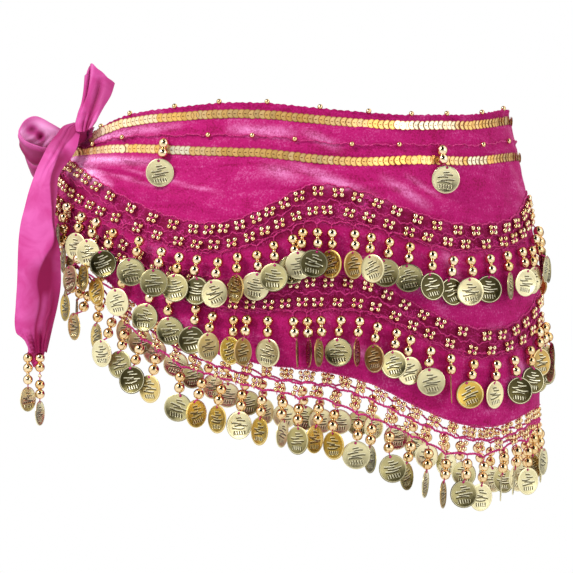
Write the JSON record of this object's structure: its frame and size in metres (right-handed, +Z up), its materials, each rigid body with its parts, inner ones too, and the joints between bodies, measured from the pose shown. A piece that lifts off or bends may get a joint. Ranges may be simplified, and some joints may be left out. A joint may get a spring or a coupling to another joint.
{
  "type": "belly dance hip scarf",
  "caption": "Velvet hip scarf in its worn shape, tied at one side, with wavy tiers of beads and hanging coins, sequin lines, an open net hem and a bow with a long tail.",
  "frame": {"origin": "middle of the waist opening, level with the scarf's top edge, where it is worn", "axes": "+Z up; the front faces -Y; +X runs across the hips, away from the side with the knot"},
  "size_m": [0.373, 0.2544, 0.3065],
  "materials": {
    "velvet": "crushed stretch velvet, fuchsia",
    "satin": "soft matt satin, fuchsia",
    "sequins": "shiny gold sequins, overlapping",
    "gold": "pale gold plated beads and stamped coins",
    "thread": "crocheted fuchsia thread"
  },
  "bodies": {
    "root": {"velvet_panel": "velvet", "sequin_tape_upper": "sequins", "sequin_tape_lower": "sequins", "coin_drops_upper": "gold", "coin_drops_middle": "gold", "coin_drops_hem": "gold", "hem_net_front": "thread", "hem_net_back": "thread", "coin_charm_front_1": "gold", "coin_charm_front_2": "gold", "coin_charm_back_1": "gold", "coin_charm_back_2": "gold", "tie_strap_front": "satin", "tie_strap_back": "satin", "tie_knot": "satin", "tie_standing_end": "satin", "tie_long_tail": "satin", "tie_loop": "satin", "tie_tail_drops": "gold"}
  },
  "joints": []
}
